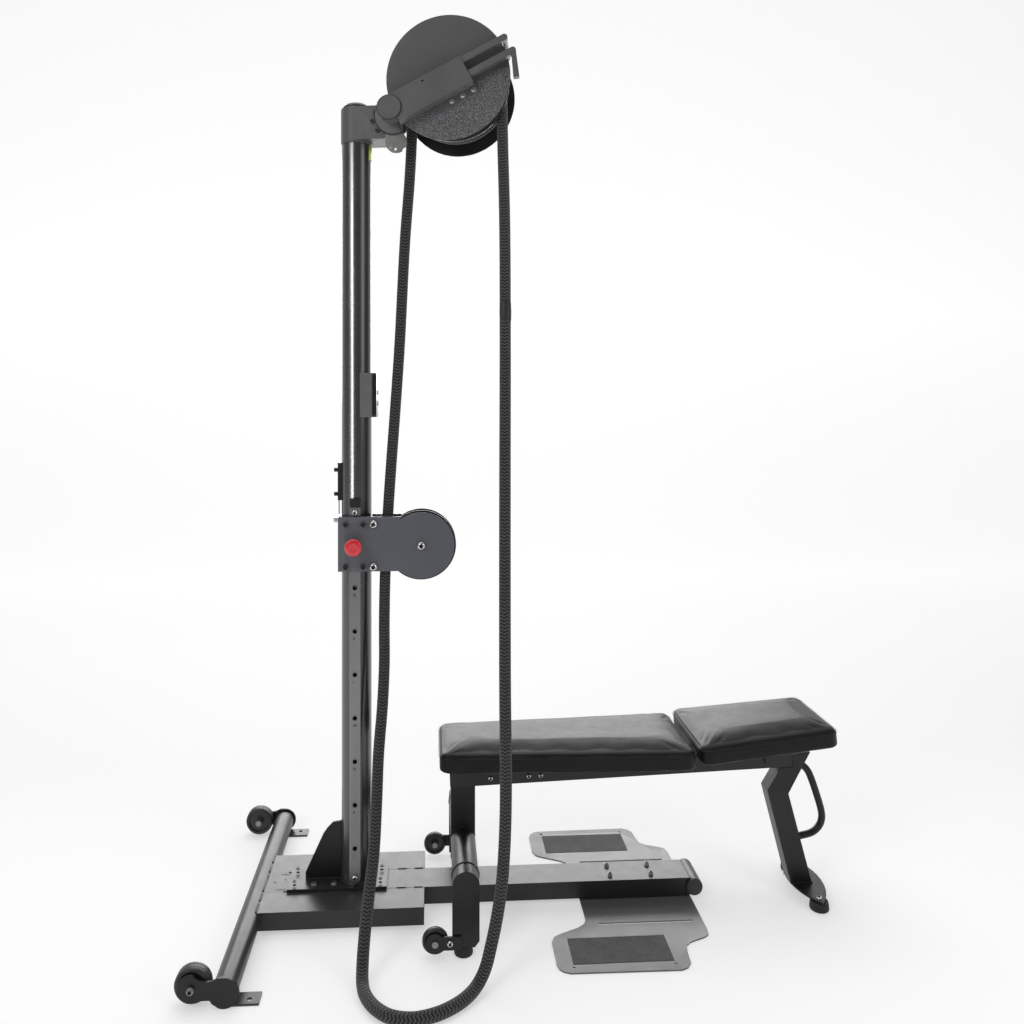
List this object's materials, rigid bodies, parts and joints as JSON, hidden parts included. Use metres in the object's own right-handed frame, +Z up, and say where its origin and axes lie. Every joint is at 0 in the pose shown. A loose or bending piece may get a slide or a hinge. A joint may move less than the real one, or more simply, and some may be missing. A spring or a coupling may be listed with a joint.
{
  "type": "seated cable row",
  "caption": "Rope-pull rower: a swivelling rope drum on a round column, a height-set pulley carriage, a floor frame with foot plates, and a long padded bench on wheels.",
  "frame": {"origin": "on the floor, midway between the two floor-anchor holes", "axes": "+X from the column towards the foot plates, +Y across the machine away from the rope loop, +Z up"},
  "size_m": [1.8438, 0.9857, 2.6076],
  "materials": {
    "frame_charcoal": "satin powder coat",
    "frame_black": "satin powder coat",
    "column_charcoal": "satin powder coat",
    "head_grey": "fine textured powder coat",
    "index_grey": "dull machined",
    "carriage_grey": "smooth blue-grey paint",
    "deck_steel": "smooth satin paint",
    "rail_steel": "zinc plated",
    "zinc": "bright zinc",
    "shaft_steel": "ground",
    "bronze_bush": "sintered",
    "nylon_black": "moulded",
    "drum_black": "moulded satin",
    "console_grey": "moulded",
    "bezel_black": "moulded",
    "button_grey": "moulded",
    "wheel_black": "moulded",
    "foot_rubber": "moulded",
    "grip_grey": "gritty sheet",
    "knob_red": "moulded gloss",
    "rope_braid": "braided",
    "pad_vinyl": "soft vinyl"
  },
  "bodies": {
    "frame": {"cross_tube": "frame_black", "end_plates": "frame_black", "anchor_tabs": "frame_charcoal", "deck_tubes": "frame_charcoal", "main_beam": "frame_charcoal", "end_tube": "frame_charcoal", "tube_caps": "nylon_black", "base_plate": "frame_charcoal", "frame_bolts": "zinc", "gusset": "frame_black", "column": "column_charcoal", "spindle": "shaft_steel", "spindle_cap": "nylon_black", "guide_rail": "rail_steel", "rail_fixings": "zinc", "foot_plate": "deck_steel", "grip_pads": "grip_grey", "console_housing": "console_grey", "console_bezel": "bezel_black", "band_anchor": "frame_black", "counter_band": "rail_steel", "wheel_axles": "zinc"},
    "upper_button": {"button_upper": "button_grey"},
    "lower_button": {"button_lower": "button_grey"},
    "base_wheel_near": {"wheel_near": "wheel_black"},
    "base_wheel_far": {"wheel_far": "wheel_black"},
    "head": {"collar": "head_grey", "collar_bushes": "bronze_bush", "clevis": "head_grey", "index_plate": "index_grey", "pivot_pin": "shaft_steel", "head_screws": "zinc"},
    "arm": {"arm_box": "head_grey", "arm_plate": "head_grey", "guard_bars": "head_grey", "cover_upper": "head_grey", "cover_lower": "head_grey", "arm_bolts": "zinc", "drum_axle": "shaft_steel", "rope_wraps": "rope_braid", "rope_loop": "rope_braid"},
    "drum": {"drum": "drum_black", "drum_bearings": "shaft_steel"},
    "carriage": {"carriage_near_plate": "carriage_grey", "carriage_far_plate": "carriage_grey", "carriage_spacers": "zinc", "guide_shoes": "nylon_black", "pulley_axle": "zinc"},
    "pulley": {"pulley": "drum_black"},
    "pull_pin": {"pull_pin": "knob_red"},
    "bench": {"bench_spine": "frame_black", "bench_front_frame": "frame_black", "bench_rear_leg": "frame_black", "bench_handle": "frame_black", "bench_feet": "foot_rubber", "bench_wheel_axles": "zinc", "pad_front": "pad_vinyl", "pad_rear": "pad_vinyl"},
    "bench_wheel_near": {"bench_wheel_near": "wheel_black"},
    "bench_wheel_far": {"bench_wheel_far": "wheel_black"}
  },
  "joints": [
    {"name": "head_swivel", "type": "hinge", "parent": "frame", "child": "head", "pos_m": [0.229, 0, 2.33], "axis": [0, 0, 1], "range_deg": [-8, 8], "deforming": ["rope_loop"]},
    {"name": "arm_tilt", "type": "hinge", "parent": "head", "child": "arm", "pos_m": [0.35147, -0.0194, 2.333], "axis": [-0.1564, -0.9877, 0], "range_deg": [-30, 15], "deforming": ["rope_loop"]},
    {"name": "drum_spin", "type": "hinge", "parent": "arm", "child": "drum", "pos_m": [0.52824, -0.04739, 2.40435], "axis": [0.1564, 0.9877, 0], "continuous": true},
    {"name": "carriage_slide", "type": "slide", "parent": "frame", "child": "carriage", "axis": [0, 0, 1], "range_m": [-0.381, 0], "deforming": ["rope_loop", "counter_band"]},
    {"name": "pulley_spin", "type": "hinge", "parent": "carriage", "child": "pulley", "pos_m": [0.423, -0.03945, 1.075], "axis": [0, 1, 0], "continuous": true},
    {"name": "pin_push", "type": "slide", "parent": "carriage", "child": "pull_pin", "axis": [0, -1, 0], "range_m": [-0.009, 0]},
    {"name": "wheel_near_spin", "type": "hinge", "parent": "frame", "child": "base_wheel_near", "pos_m": [-0.138, -0.413, 0.051], "axis": [0, 1, 0], "continuous": true},
    {"name": "wheel_far_spin", "type": "hinge", "parent": "frame", "child": "base_wheel_far", "pos_m": [-0.138, 0.413, 0.051], "axis": [0, 1, 0], "continuous": true},
    {"name": "button_upper_press", "type": "slide", "parent": "frame", "child": "upper_button", "axis": [-1, 0, 0], "range_m": [0, 0.0015], "stiffness_N_per_m": 400},
    {"name": "button_lower_press", "type": "slide", "parent": "frame", "child": "lower_button", "axis": [-1, 0, 0], "range_m": [0, 0.0015], "stiffness_N_per_m": 400},
    {"name": "bench_roll", "type": "slide", "parent": "frame", "child": "bench", "axis": [1, 0, 0], "range_m": [-0.05, 0.12]},
    {"name": "bench_wheel_near_spin", "type": "hinge", "parent": "bench", "child": "bench_wheel_near", "pos_m": [0.463, -0.273, 0.045], "axis": [0, 1, 0], "continuous": true},
    {"name": "bench_wheel_far_spin", "type": "hinge", "parent": "bench", "child": "bench_wheel_far", "pos_m": [0.463, 0.233, 0.045], "axis": [0, 1, 0], "continuous": true}
  ]
}
